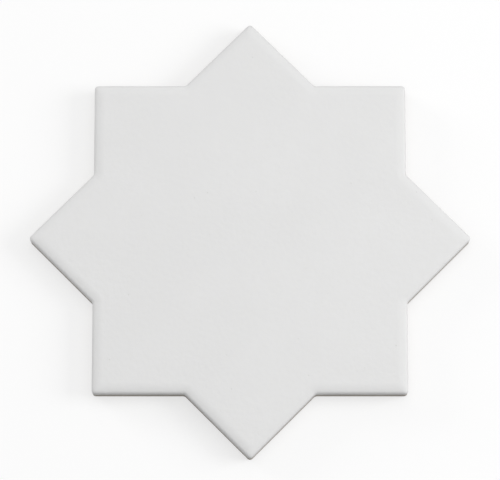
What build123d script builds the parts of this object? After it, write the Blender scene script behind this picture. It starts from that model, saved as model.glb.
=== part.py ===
"""Star-shaped porcelain tile, pressed and fired as one piece.

Frame, in millimetres: the origin is the middle of the back, +Z points out of the glazed face,
and the star has a point on +X, +Y, -X and -Y and one halfway between each two of those.
"""
import os
from math import asin, ceil, cos, degrees, radians, sin, sqrt, tan

from build123d import *

# The star seen from above: equal squares on one centre, evenly turned
SQUARES = 2               # each square gives the star four points
POINT_TO_POINT = 150.0    # across two opposite points, over their rounding
POINT_RADIUS = 1.2        # rounding of each point
NOTCH_RADIUS = 1.5        # rounding at the root of each notch between two points

# Section through an edge, from the face down to the back
THICKNESS = 8.5           # glazed face to back
CUSHION_WIDTH = 2.8       # strip of the face that falls away towards the arris
CUSHION_RADIUS = 8.5      # the long roll of that strip
ARRIS_RADIUS = 1.35       # the tight turn from the face into the wall
ARRIS_SHARE = 0.9         # most of the arris radius that the rounding of a point may take
WALL_DRAFT = 1.0          # degrees that the wall leans in towards the face
BACK_BEVEL = 0.8          # bevel where the wall meets the back

# Keyed back: a waffle of shallow pockets for the adhesive to grip
KEY_DEPTH = 0.8           # depth of a pocket
KEY_PITCH = 9.0           # middle of one rib to the middle of the next
RIB_WIDTH = 2.2           # crown of a rib between two pockets
KEY_DRAFT = 35.0          # degrees that the sides of a pocket lean
BACK_BORDER = 6.0         # plain border between the waffle and the edge of the star
KEY_SLIVER = 0.3          # a pocket that the border cuts below this share of a whole one is left out

# Sizes that follow from those above
POINTS = 4 * SQUARES
POINT_STEP = 360 / POINTS
NOTCH_TURN = 90 - POINT_STEP
POINT_BLEND = min(POINT_RADIUS, ARRIS_SHARE * ARRIS_RADIUS)
SQUARE_SIDE = (POINT_TO_POINT + 2 * POINT_BLEND * (sqrt(2) - 1)) / sqrt(2)
EDGE = SQUARE_SIDE / 2    # from the centre to the foot of every wall
CUSHION_ANGLE = degrees(asin(CUSHION_WIDTH / CUSHION_RADIUS))
CUSHION_DROP = CUSHION_RADIUS * (1 - cos(radians(CUSHION_ANGLE)))
ARRIS_DROP = ARRIS_RADIUS * (cos(radians(CUSHION_ANGLE)) - sin(radians(WALL_DRAFT)))
WALL_TOP = THICKNESS - CUSHION_DROP - ARRIS_DROP
WALL_LEAN = (WALL_TOP - BACK_BEVEL) * tan(radians(WALL_DRAFT))
EDGE_BAND = WALL_LEAN + ARRIS_RADIUS + CUSHION_WIDTH


def turned(square):
    """A square and its turned copies, which make the star together."""
    return [Rot(0, 0, POINT_STEP * turn) * square for turn in range(SQUARES)]


def edge_section(inner):
    """Closed section through one edge on the XZ plane, from a distance off the centre out to the wall."""
    with BuildSketch(Plane.XZ) as section:
        with BuildLine():
            back = Line((inner, 0), (EDGE - BACK_BEVEL, 0))
            bevel = Line(back @ 1, (EDGE, BACK_BEVEL))
            wall = Line(bevel @ 1, (EDGE - WALL_LEAN, WALL_TOP))
            arris = JernArc(wall @ 1, wall % 1, ARRIS_RADIUS, 90 - WALL_DRAFT - CUSHION_ANGLE)
            cushion = JernArc(arris @ 1, arris % 1, CUSHION_RADIUS, CUSHION_ANGLE)
            face = Line(cushion @ 1, (inner, THICKNESS))
            Line(face @ 1, back @ 0)
        make_face()
    return section.sketch


def corner_edges(square):
    """The four edges that stand up the wall, from the back's bevel to the arris."""
    on_wall = square.edges().filter_by_position(Axis.Z, BACK_BEVEL, WALL_TOP, (False, False))
    return on_wall.filter_by(lambda edge: edge.bounding_box().size.Z > edge.length / 2)


def cushion_square():
    """One square: its section run both ways, so that the cushion is mitred round each corner.

    The corner's rounding runs up the wall, over the arris and along the mitre of the cushion.
    """
    half_bar = extrude(edge_section(0), amount=POINT_TO_POINT, both=True)
    bar = half_bar + mirror(half_bar, about=Plane.YZ)
    square = bar & Rot(0, 0, 90) * bar
    return fillet(corner_edges(square), POINT_BLEND)


def notch_cove():
    """The section turned about the middle of a notch's rounding, from one wall to the next."""
    middle_x = EDGE + NOTCH_RADIUS
    middle_y = middle_x * tan(radians(NOTCH_TURN / 2))
    strip = Pos(0, middle_y, 0) * edge_section(EDGE - EDGE_BAND - NOTCH_RADIUS)
    return revolve(strip, Axis((middle_x, middle_y, 0), (0, 0, 1)), NOTCH_TURN)


def star_blank():
    """All squares in one, with a cove in each notch between their corners."""
    star = Part() + turned(cushion_square())
    return star + PolarLocations(0, POINTS) * notch_cove()


def key_pockets():
    """The waffle of the back, cut off at a border that follows the star."""
    field_side = SQUARE_SIDE - 2 * BACK_BORDER
    field = Sketch() + turned(Rectangle(field_side, field_side))
    mouth = KEY_PITCH - RIB_WIDTH
    ranks = 2 * ceil(POINT_TO_POINT / 2 / KEY_PITCH)
    waffle = Sketch() + GridLocations(KEY_PITCH, KEY_PITCH, ranks, ranks) * Rectangle(mouth, mouth)
    mouths = (waffle & field).faces().filter_by(lambda face: face.area > KEY_SLIVER * mouth ** 2)
    return extrude(mouths, amount=KEY_DEPTH, dir=(0, 0, 1), taper=KEY_DRAFT)


tile = star_blank() - key_pockets()

os.makedirs("parts", exist_ok=True)
export_step(tile, "parts/star_tile.step")
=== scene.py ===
"""Star-shaped porcelain tile: one pressed body, glazed matte white over its face and the top of its wall.

The tile is modelled in millimetres in the part's frame, with its back on z = 0 and its face up,
and scaled to metres once it is whole.
"""
from math import asin, atan2, ceil, cos, degrees, floor, radians, sin, sqrt, tan

import bmesh
import bpy
from mathutils import Matrix, Vector, noise


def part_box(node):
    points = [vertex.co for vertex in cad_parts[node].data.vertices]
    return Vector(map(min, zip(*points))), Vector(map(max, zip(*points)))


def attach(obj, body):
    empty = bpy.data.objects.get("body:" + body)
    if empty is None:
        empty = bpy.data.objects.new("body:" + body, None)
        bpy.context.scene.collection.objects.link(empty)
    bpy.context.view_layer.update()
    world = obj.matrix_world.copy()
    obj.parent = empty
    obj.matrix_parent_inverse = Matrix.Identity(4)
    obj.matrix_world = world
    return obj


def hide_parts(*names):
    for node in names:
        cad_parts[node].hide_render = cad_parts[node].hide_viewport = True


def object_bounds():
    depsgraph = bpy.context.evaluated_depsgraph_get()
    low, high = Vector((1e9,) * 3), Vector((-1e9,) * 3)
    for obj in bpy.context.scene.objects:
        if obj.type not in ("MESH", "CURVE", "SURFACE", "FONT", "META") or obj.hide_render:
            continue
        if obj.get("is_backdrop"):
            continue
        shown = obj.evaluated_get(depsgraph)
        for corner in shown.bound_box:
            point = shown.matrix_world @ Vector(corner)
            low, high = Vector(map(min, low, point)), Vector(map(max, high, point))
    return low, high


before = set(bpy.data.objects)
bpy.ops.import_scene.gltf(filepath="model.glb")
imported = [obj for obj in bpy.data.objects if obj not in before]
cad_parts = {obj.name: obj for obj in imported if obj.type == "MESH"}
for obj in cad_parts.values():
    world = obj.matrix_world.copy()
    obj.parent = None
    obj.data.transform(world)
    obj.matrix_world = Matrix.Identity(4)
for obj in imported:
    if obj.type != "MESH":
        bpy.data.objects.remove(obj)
cad_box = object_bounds()

MM = 0.001
tile_low, tile_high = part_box("star_tile")

# The star seen from above
POINTS = 8
STEP = 360 / POINTS             # degrees from one point to the next
NOTCH_TURN = radians(STEP / 2)  # radians from a point to the notch beside it
CORNER = sqrt(2)                # how many times as far out a square's corner lies as its side
POINT_TO_POINT = (tile_high[0] - tile_low[0]) / MM
POINT_ROUND = 1.2               # rounding of a point
NOTCH_ROUND = 1.5               # rounding at the root of a notch
EDGE = (POINT_TO_POINT / 2 + POINT_ROUND * (CORNER - 1)) / CORNER  # from the centre to the foot of a wall
NOTCH_MIDDLE = (EDGE + NOTCH_ROUND) / cos(NOTCH_TURN)              # and to the middle of a notch's rounding
NOTCH_REACH = 3.0               # degrees each side of a notch that belong to its rounding
ROUND_CUTS = 6                  # facets round a point or a notch
WALL_CUTS = 17                  # stations along a straight wall

# Section through an edge
THICKNESS = (tile_high[2] - tile_low[2]) / MM
CUSHION_WIDTH = 2.8             # strip of the face that falls away
CUSHION_RADIUS = 8.5            # its long roll
CUSHION_CUTS = 9                # facets across that roll
ARRIS_RADIUS = 1.35             # tight turn from the face into the wall
ARRIS_CUTS = 8                  # facets round that turn
WALL_DRAFT = 1.0                # degrees that the wall leans in
BACK_BEVEL = 0.8                # bevel between wall and back
BACK_EASE = 0.2                 # softening of that bevel's two corners
EASE_CUTS = 2                   # facets across a softened edge
FACE_BAND = 2.0                 # flat strip inside the cushion
CUSHION_SLOPE = degrees(asin(CUSHION_WIDTH / CUSHION_RADIUS))
CUSHION_FOOT = THICKNESS - CUSHION_RADIUS * (1 - cos(radians(CUSHION_SLOPE)))
ARRIS_MIDDLE = CUSHION_FOOT - ARRIS_RADIUS * cos(radians(CUSHION_SLOPE))
WALL_TOP = ARRIS_MIDDLE + ARRIS_RADIUS * sin(radians(WALL_DRAFT))

# Glaze over the body
GLAZE_COAT = 0.12               # how far the glaze stands out from the bare wall
GLAZE_STOP = 5.0                # height where it ends
LIP_HEIGHT = 0.35               # height of its rounded lip
LIP_CUTS = 3                    # facets round that lip
STOP_WAVES = {13.0: 0.45, 4.5: 0.16}       # length of the waves in its edge, and how far they stray

# Keyed back
KEY_DEPTH = 0.8                 # depth of a pocket
KEY_PITCH = 9.0                 # from one rib to the next
RIB_WIDTH = 2.2                 # width of a rib's crown
KEY_MOUTH = KEY_PITCH - RIB_WIDTH          # width of a whole pocket
KEY_DRAFT = 35.0                # degrees that a pocket's sides lean in
KEY_SLIVER = 0.3                # share of a whole pocket below which one is left out
KEY_EASE = 0.22                 # softening of a pocket's edges
BACK_BORDER = 6.0               # plain border round the pockets

GLAZED, BARE, KEYED = range(3)


def wall_inset(height):
    """How far the wall has leaned in at a height."""
    return (height - BACK_BEVEL) * tan(radians(WALL_DRAFT))


def arc(middle, radius, start, end, cuts):
    """Stations of a round stretch of the section, past its first, as inset and height."""
    for cut in range(1, cuts + 1):
        slope = radians(start + (end - start) * cut / cuts)
        yield middle[0] - radius * cos(slope), middle[1] + radius * sin(slope)


def glazed_section():
    """The section from the top of the wall to the flat face: arris, then cushion."""
    turn = 90 - CUSHION_SLOPE
    arris_inset = wall_inset(WALL_TOP) + ARRIS_RADIUS * cos(radians(WALL_DRAFT))
    cushion_inset = arris_inset - ARRIS_RADIUS * cos(radians(turn)) + CUSHION_WIDTH
    yield wall_inset(WALL_TOP), WALL_TOP
    yield from arc((arris_inset, ARRIS_MIDDLE), ARRIS_RADIUS, WALL_DRAFT, turn, ARRIS_CUTS)
    yield from arc((cushion_inset, THICKNESS - CUSHION_RADIUS), CUSHION_RADIUS, turn, 90, CUSHION_CUTS)


def rib_sides():
    """Distances from the centre to both sides of each rib, one way across the back."""
    ranks = ceil(POINT_TO_POINT / 2 / KEY_PITCH)
    for rib in range(-ranks, ranks + 1):
        for side in (-1, 1):
            yield rib * KEY_PITCH + side * RIB_WIDTH / 2


def notch_of(corner):
    """The number of the notch whose rounding a corner is on, or None on a wall or a point."""
    bearing = degrees(atan2(corner.co.y, corner.co.x)) % 360
    if abs(bearing % STEP - STEP / 2) > NOTCH_REACH:
        return None
    return floor(bearing / STEP)


def is_level(edge):
    """Whether both ends of an edge are at one height."""
    return abs(edge.verts[0].co.z - edge.verts[1].co.z) < BACK_EASE


def in_mouth(face):
    """Whether a piece of the back lies between the ribs and is large enough for a pocket."""
    middle = face.calc_center_median()
    off_rib = all(abs(place % KEY_PITCH - KEY_PITCH / 2) < KEY_MOUTH / 2 for place in middle.xy)
    return off_rib and face.calc_area() > KEY_SLIVER * KEY_MOUTH ** 2


class StarPress:
    """The tile's mesh, raised ring by ring from the foot of its wall."""

    def __init__(self):
        self.mesh = bmesh.new()
        self.inset = 0.0
        self.ring = self.outline()
        self.draw_in(GLAZE_COAT, BACK_BEVEL)

    def outline(self):
        """The foot of the wall: a ring of points and notches, all of them rounded."""
        tip = EDGE * CORNER
        root_share = EDGE / cos(NOTCH_TURN) / tip
        corners = bmesh.ops.create_circle(self.mesh, cap_ends=True, segments=2 * POINTS, radius=tip)["verts"]
        tips, roots = corners[0::2], corners[1::2]
        bmesh.ops.scale(self.mesh, vec=(root_share, root_share, 1), verts=roots)
        tangents = {POINT_ROUND: tips, NOTCH_ROUND * tan(NOTCH_TURN): roots}
        for tangent, rounded in tangents.items():
            bmesh.ops.bevel(self.mesh, geom=rounded, offset=tangent, offset_type="OFFSET", affect="VERTICES",
                            segments=ROUND_CUTS, profile=0.5, material=-1)
        bmesh.ops.delete(self.mesh, geom=self.mesh.faces[:], context="FACES_ONLY")
        return self.mesh.edges[:]

    def corners(self):
        """The corners of the ring that is being shaped."""
        return list({corner for edge in self.ring for corner in edge.verts})

    def raise_ring(self, finish):
        """Starts a new ring on the last one, with a band of that finish between the two."""
        made = bmesh.ops.extrude_edge_only(self.mesh, edges=self.ring)["geom"]
        self.ring = [part for part in made if isinstance(part, bmesh.types.BMEdge) and part.is_boundary]
        for edge in self.ring:
            edge.link_faces[0].material_index = finish

    def draw_in(self, inset, height):
        """Puts the ring at its place in the section: walls move straight in and notches widen."""
        corners = self.corners()
        share = (EDGE - inset) / (EDGE - self.inset)
        walls = [corner for corner in corners if notch_of(corner) is None]
        bmesh.ops.scale(self.mesh, vec=(share, share, 0), verts=walls)
        widening = (NOTCH_ROUND + inset) / (NOTCH_ROUND + self.inset)
        for notch in range(POINTS):
            bearing = radians(STEP * (notch + 0.5))
            middle = Vector((cos(bearing), sin(bearing), 0)) * NOTCH_MIDDLE
            rounding = [corner for corner in corners if notch_of(corner) == notch]
            bmesh.ops.scale(self.mesh, vec=(widening, widening, 0), verts=rounding,
                            space=Matrix.Translation(-middle))
        bmesh.ops.translate(self.mesh, vec=(0, 0, height), verts=corners)
        self.inset = inset

    def shrink(self, inset):
        """Draws in a ring that lies in a flat face."""
        share = (EDGE - inset) / (EDGE - self.inset)
        bmesh.ops.scale(self.mesh, vec=(share, share, 1), verts=self.corners())
        self.inset = inset

    def stray(self):
        """Lets the ring wander up and down, as the edge of a glaze does."""
        for corner in self.corners():
            place = Vector((corner.co.x, corner.co.y, 0))
            corner.co.z += sum(stray * noise.noise(place / wave) for wave, stray in STOP_WAVES.items())

    def close(self, finish):
        """Closes the ring with one flat face."""
        for face in bmesh.ops.edgeloop_fill(self.mesh, edges=self.ring)["faces"]:
            face.material_index = finish

    def open_edges(self):
        """The edges that have a face on one side only."""
        return [edge for edge in self.mesh.edges if edge.is_boundary]

    def bare_back(self):
        """Bevel, border and the field for the pockets, down from the foot of the wall."""
        self.raise_ring(BARE)
        self.draw_in(BACK_BEVEL, 0)
        self.raise_ring(BARE)
        self.shrink(BACK_BORDER)
        self.close(KEYED)

    def bare_wall(self):
        """Goes back to the foot of the wall and up to where the glaze ends."""
        # The facets of a rounding are shorter than its radius, so a longer edge is a straight wall
        straight = [edge for edge in self.open_edges() if edge.calc_length() > NOTCH_ROUND]
        bmesh.ops.subdivide_edges(self.mesh, edges=straight, cuts=WALL_CUTS)
        self.ring = self.open_edges()
        self.inset = GLAZE_COAT
        self.raise_ring(BARE)
        self.draw_in(wall_inset(GLAZE_STOP) + GLAZE_COAT, GLAZE_STOP)
        self.stray()

    def glazed_face(self):
        """The glaze from its lip over arris and cushion to the flat face."""
        lip_top = GLAZE_STOP + LIP_HEIGHT
        for cut in range(1, LIP_CUTS + 1):
            swell = radians(90 * cut / LIP_CUTS)
            missing_coat = GLAZE_COAT * (1 - sin(swell))
            self.raise_ring(GLAZED)
            self.draw_in(wall_inset(lip_top) + missing_coat, lip_top - LIP_HEIGHT * cos(swell))
            self.stray()
        for inset, height in glazed_section():
            self.raise_ring(GLAZED)
            self.draw_in(inset, height)
        self.raise_ring(GLAZED)
        self.shrink(self.inset + FACE_BAND)
        self.close(GLAZED)
        bmesh.ops.recalc_face_normals(self.mesh, faces=self.mesh.faces[:])

    def ease(self, edges, width):
        """Softens sharp edges."""
        bmesh.ops.bevel(self.mesh, geom=edges, offset=width, offset_type="OFFSET", affect="EDGES",
                        segments=EASE_CUTS, profile=0.5, material=-1)

    def ease_back(self):
        """Softens both corners of the bevel round the back."""
        bevel = [face for face in self.mesh.faces if 0 < face.calc_center_median().z < BACK_BEVEL]
        self.ease(list({edge for face in bevel for edge in face.edges if is_level(edge)}), BACK_EASE)

    def keyed_field(self):
        """The part of the back that is still to be keyed."""
        return [face for face in self.mesh.faces if face.material_index == KEYED]

    def sink_pockets(self):
        """Cuts the field along both sides of each rib and sinks the squares between."""
        for across in (Vector((1, 0, 0)), Vector((0, 1, 0))):
            for rib_side in rib_sides():
                field = self.keyed_field()
                edges = {edge for face in field for edge in face.edges}
                corners = {corner for face in field for corner in face.verts}
                bmesh.ops.bisect_plane(self.mesh, geom=[*field, *edges, *corners],
                                       plane_co=across * rib_side, plane_no=across)
        pockets = [face for face in self.keyed_field() if in_mouth(face)]
        lean = KEY_DEPTH * tan(radians(KEY_DRAFT))
        sides = bmesh.ops.inset_individual(self.mesh, faces=pockets, thickness=lean, depth=-KEY_DEPTH,
                                           use_even_offset=True)["faces"]
        for face in self.keyed_field():
            face.material_index = BARE
        self.ease(list({edge for side in sides for edge in side.edges}), KEY_EASE)


def put_in_scene(name, data):
    """A new object in the scene, at the origin."""
    placed = bpy.data.objects.new(name, data)
    bpy.context.collection.objects.link(placed)
    return placed


def finished_object(name, mesh, *finishes):
    """An object of a finished mesh, with its materials."""
    data = bpy.data.meshes.new(name)
    mesh.to_mesh(data)
    mesh.free()
    for finish in finishes:
        data.materials.append(finish)
    return put_in_scene(name, data)


def fired_tile(*finishes):
    """The whole tile as one closed mesh."""
    press = StarPress()
    press.bare_back()
    press.bare_wall()
    press.glazed_face()
    press.ease_back()
    press.sink_pockets()
    for face in press.mesh.faces:
        face.smooth = True
    bmesh.ops.scale(press.mesh, vec=(MM, MM, MM), verts=press.mesh.verts[:])
    fired = finished_object("fired_star_tile", press.mesh, *finishes)
    fired.modifiers.new("even_shading", "WEIGHTED_NORMAL").keep_sharp = True
    return fired


# Finishes
WHITE = (1, 1, 1, 1)
GLAZE_DARK = (0.772, 0.772, 0.770, 1)
GLAZE_LIGHT = (0.788, 0.788, 0.786, 1)
GLAZE_CREAM = (0.785, 0.784, 0.779, 1)
GLAZE_ROUGHNESS = (0.52, 0.62)
PINHOLE_GREY = (0.55, 0.53, 0.50, 1)
BODY_DARK = (0.50, 0.455, 0.40, 1)
BODY_LIGHT = (0.60, 0.565, 0.515, 1)
BODY_TAN = (0.57, 0.515, 0.45, 1)
BODY_ROUGHNESS = (0.78, 0.9)
IRON_SPECK = (0.30, 0.25, 0.20, 1)
SPECK_CORE = 0.4                # share of a speck's radius that is full of its colour
SPRAY_WHITE = (0.77, 0.765, 0.755, 1)
SPRAY_FADE = 0.2                # how fast stray spray thins out below the glaze, for each millimetre
SPRAY_LEVELS = (0.32, 0.62)     # noise at the edge of the glaze where spray starts, and where it is full
KILN_WASH = (0.70, 0.685, 0.655, 1)
WASH_TOP, WASH_FULL = 0.12, 0.02           # heights where kiln wash ends, and where it is full
NOISE_LEVELS = (0.3, 0.7)       # between which most values of a noise lie
MIX_SHARE, MIX_UNDER, MIX_OVER, MIX_RESULT = 0, 6, 7, 2     # sockets of a mix of colours


class Finish:
    """The nodes of a material or a world, with one call for each kind."""

    def __init__(self, owner):
        owner.use_nodes = True
        self.owner = owner
        self.tree = owner.node_tree
        self.tree.nodes.clear()

    def add(self, kind, sockets, **settings):
        """A new node, with each of its sockets linked to another node or set to a value."""
        node = self.tree.nodes.new(kind)
        for name, value in settings.items():
            setattr(node, name, value)
        for name, value in sockets.items():
            if isinstance(value, bpy.types.NodeSocket):
                self.tree.links.new(value, node.inputs[name])
            else:
                node.inputs[name].default_value = value
        return node

    def place(self):
        """Where a point lies in the part's frame, in metres."""
        return self.add("ShaderNodeTexCoord", {}).outputs["Object"]

    def noise(self, place, size, detail):
        """Soft waves of about a size in millimetres."""
        sockets = {"Vector": place, "Scale": 1 / (size * MM), "Detail": detail}
        return self.add("ShaderNodeTexNoise", sockets).outputs["Fac"]

    def patches(self, place, size, detail, levels=NOISE_LEVELS):
        """1 on soft patches of about a size in millimetres, 0 between them."""
        return self.span(self.noise(place, size, detail), levels)

    def specks(self, place, spacing, radius):
        """1 on small round specks, 0 elsewhere, in millimetres."""
        cells = self.add("ShaderNodeTexVoronoi", {"Vector": place, "Scale": 1 / (spacing * MM)})
        rim = radius / spacing
        return self.span(cells.outputs["Distance"], (rim, SPECK_CORE * rim))

    def span(self, value, source, target=(0.0, 1.0)):
        """Carries one range of values smoothly over to another."""
        sockets = {"Value": value, "From Min": source[0], "From Max": source[1],
                   "To Min": target[0], "To Max": target[1]}
        return self.add("ShaderNodeMapRange", sockets, interpolation_type="SMOOTHSTEP").outputs["Result"]

    def scaled(self, value, factor, plus=0.0):
        """A value times a factor, plus another value."""
        sockets = {0: value, 1: factor, 2: plus}
        return self.add("ShaderNodeMath", sockets, operation="MULTIPLY_ADD").outputs[0]

    def larger(self, one, other):
        """The larger of two values."""
        return self.add("ShaderNodeMath", {0: one, 1: other}, operation="MAXIMUM").outputs[0]

    def tint(self, under, over, where, strength=1.0):
        """Lays one colour over another, as far as a value from 0 to 1 says."""
        sockets = {MIX_SHARE: self.scaled(where, strength), MIX_UNDER: under, MIX_OVER: over}
        return self.add("ShaderNodeMix", sockets, data_type="RGBA").outputs[MIX_RESULT]

    def blend(self, under, over, share):
        """A share of one shader over another."""
        return self.add("ShaderNodeMixShader", {0: share, 1: under, 2: over}).outputs["Shader"]

    def relief(self, height, depth):
        """Bumps of a depth in millimetres."""
        sockets = {"Height": height, "Distance": depth * MM, "Strength": 1.0}
        return self.add("ShaderNodeBump", sockets).outputs["Normal"]

    def surface(self, shader):
        """The material, finished with that shader."""
        self.add("ShaderNodeOutputMaterial", {"Surface": shader})
        return self.owner


def matte_white_glaze():
    """Neutral white, faintly clouded, with a soft skin and a rare pinhole."""
    glaze = Finish(bpy.data.materials.new("matte_white_glaze"))
    place = glaze.place()
    cloud = glaze.patches(place, size=24.0, detail=3.0)
    mottle = glaze.patches(place, size=2.6, detail=2.0)
    pinhole = glaze.specks(place, spacing=6.0, radius=0.22)
    tone = glaze.tint(GLAZE_DARK, GLAZE_LIGHT, cloud)
    tone = glaze.tint(tone, GLAZE_CREAM, mottle, strength=0.5)
    tone = glaze.tint(tone, PINHOLE_GREY, pinhole, strength=0.35)
    peel = glaze.noise(place, size=1.8, detail=1.0)
    tooth = glaze.noise(place, size=0.3, detail=2.0)
    skin = glaze.scaled(tooth, factor=0.2, plus=peel)
    skin = glaze.scaled(pinhole, factor=-1.5, plus=skin)
    shader = glaze.add("ShaderNodeBsdfPrincipled", {
        "Base Color": tone,
        "Roughness": glaze.span(mottle, (0.0, 1.0), GLAZE_ROUGHNESS),
        "IOR": 1.5,
        "Normal": glaze.relief(skin, depth=0.065),
    })
    return glaze.surface(shader.outputs["BSDF"])


def bare_porcelain():
    """The unglazed body: warm, dry and grainy, with stray spray under the glaze and kiln wash on its back."""
    body = Finish(bpy.data.materials.new("bare_porcelain"))
    place = body.place()
    height = body.add("ShaderNodeSeparateXYZ", {"Vector": place}).outputs["Z"]
    above_stop = body.scaled(height, factor=1 / MM, plus=-GLAZE_STOP)
    drops = body.noise(place, size=0.45, detail=3.0)
    spray = body.span(body.scaled(above_stop, factor=SPRAY_FADE, plus=drops), SPRAY_LEVELS)
    stood_on = body.span(height, (WASH_TOP * MM, WASH_FULL * MM))
    wash = body.scaled(stood_on, factor=body.patches(place, size=5.0, detail=4.0, levels=(0.42, 0.62)))
    cloud = body.patches(place, size=11.0, detail=3.0, levels=(0.35, 0.7))
    speck = body.specks(place, spacing=1.6, radius=0.16)
    grain = body.noise(place, size=0.7, detail=4.0)
    tone = body.tint(BODY_DARK, BODY_LIGHT, body.span(grain, NOISE_LEVELS))
    tone = body.tint(tone, BODY_TAN, cloud, strength=0.5)
    tone = body.tint(tone, IRON_SPECK, speck, strength=0.45)
    tone = body.tint(tone, SPRAY_WHITE, spray, strength=0.75)
    tone = body.tint(tone, KILN_WASH, wash, strength=0.6)
    pores = body.noise(place, size=0.22, detail=3.0)
    shader = body.add("ShaderNodeBsdfPrincipled", {
        "Base Color": tone,
        "Roughness": body.span(grain, NOISE_LEVELS, BODY_ROUGHNESS),
        "IOR": 1.45,
        "Normal": body.relief(body.scaled(pores, factor=0.5, plus=grain), depth=0.03),
    })
    return body.surface(shader.outputs["BSDF"])


# Studio, in metres, degrees and watts
FLOOR_SIZE = 6.0
FLOOR_BOUNCE = (0.22, 0.22, 0.22, 1)       # what the floor gives back to the tile
GLOW_REACH = (0.06, 0.30)                  # from the tile's centre
GLOW_SHARE = (0.62, 1.0)                   # share of the floor's white there that shadows don't touch
FILL_LIGHT = 0.43                          # where 1 would be white
SOFTBOXES = {
    "key_softbox": dict(bearing=2, elevation=31, distance=1.2, size=0.6, power=7.6, sheen=False),
    "top_softbox": dict(bearing=60, elevation=80, distance=1.5, size=1.4, power=5.5, sheen=True),
    "side_softbox": dict(bearing=147, elevation=15, distance=1.2, size=0.5, power=4.4, sheen=False),
}
CAMERA_BEARING = -90            # from +X
CAMERA_TILT = 11.0              # from straight down
CAMERA_LENS, SENSOR_WIDTH = 200.0, 36.0    # millimetres
FRAME_SHARE = 0.88              # of the picture's width that the tile takes


def seen(finish):
    """1 for rays that show a surface to the eye, straight or in a reflection."""
    path = finish.add("ShaderNodeLightPath", {}).outputs
    mirrored = finish.larger(path["Is Glossy Ray"], path["Is Transmission Ray"])
    return finish.larger(path["Is Camera Ray"], mirrored)


def white_floor():
    """Takes the tile's shadow close by, and fades into the white behind it."""
    finish = Finish(bpy.data.materials.new("white_floor"))
    bounce = finish.add("ShaderNodeBsdfDiffuse", {"Color": FLOOR_BOUNCE}).outputs["BSDF"]
    matte = finish.add("ShaderNodeBsdfDiffuse", {"Color": WHITE}).outputs["BSDF"]
    glow = finish.add("ShaderNodeEmission", {"Color": WHITE, "Strength": 1.0}).outputs["Emission"]
    reach = finish.add("ShaderNodeVectorMath", {0: finish.place()}, operation="LENGTH").outputs["Value"]
    shown = finish.blend(matte, glow, finish.span(reach, GLOW_REACH, GLOW_SHARE))
    return finish.surface(finish.blend(bounce, shown, seen(finish)))


def pale_floor():
    """The level floor that the tile lies on."""
    mesh = bmesh.new()
    bmesh.ops.create_grid(mesh, x_segments=1, y_segments=1, size=FLOOR_SIZE / 2)
    finished_object("floor", mesh, white_floor())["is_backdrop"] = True


def bearing_vector(bearing, elevation):
    """The direction at a bearing from +X and an elevation above the floor, in degrees."""
    across = cos(radians(elevation))
    return Vector((across * cos(radians(bearing)), across * sin(radians(bearing)), sin(radians(elevation))))


def softbox(name, bearing, elevation, distance, size, power, sheen):
    """A square lamp that faces the tile and may leave a sheen on its glaze."""
    data = bpy.data.lights.new(name, "AREA")
    data.shape = "SQUARE"
    data.size = size
    data.energy = power
    lamp = put_in_scene(name, data)
    toward = bearing_vector(bearing, elevation)
    lamp.location = toward * distance
    lamp.rotation_euler = toward.to_track_quat("Z", "Y").to_euler()
    lamp.visible_glossy = sheen


def fill_light():
    """Even light from all round, which shows as plain white."""
    room = Finish(bpy.data.worlds.new("fill_light"))
    fill = room.add("ShaderNodeBackground", {"Color": WHITE, "Strength": FILL_LIGHT}).outputs["Background"]
    white = room.add("ShaderNodeBackground", {"Color": WHITE, "Strength": 1.0}).outputs["Background"]
    room.add("ShaderNodeOutputWorld", {"Surface": room.blend(fill, white, seen(room))})
    bpy.context.scene.world = room.owner


def camera():
    """Looks down on the middle of the tile."""
    data = bpy.data.cameras.new("camera")
    data.lens = CAMERA_LENS
    data.sensor_width = SENSOR_WIDTH
    view = put_in_scene("camera", data)
    reach = POINT_TO_POINT * MM / FRAME_SHARE * CAMERA_LENS / SENSOR_WIDTH
    toward = bearing_vector(CAMERA_BEARING, 90 - CAMERA_TILT)
    view.location = toward * reach + Vector((0, 0, THICKNESS * MM / 2))
    view.rotation_euler = toward.to_track_quat("Z", "Y").to_euler()
    bpy.context.scene.camera = view


tile = fired_tile(matte_white_glaze(), bare_porcelain())
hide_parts("star_tile")
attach(tile, "root")

pale_floor()
for lamp_name, lamp_values in SOFTBOXES.items():
    softbox(lamp_name, **lamp_values)
fill_light()
camera()
bpy.context.scene.view_settings.view_transform = "Standard"

boxes = {"cad": cad_box, "visual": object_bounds()}
{name: [list(corner) for corner in box] for name, box in boxes.items()}
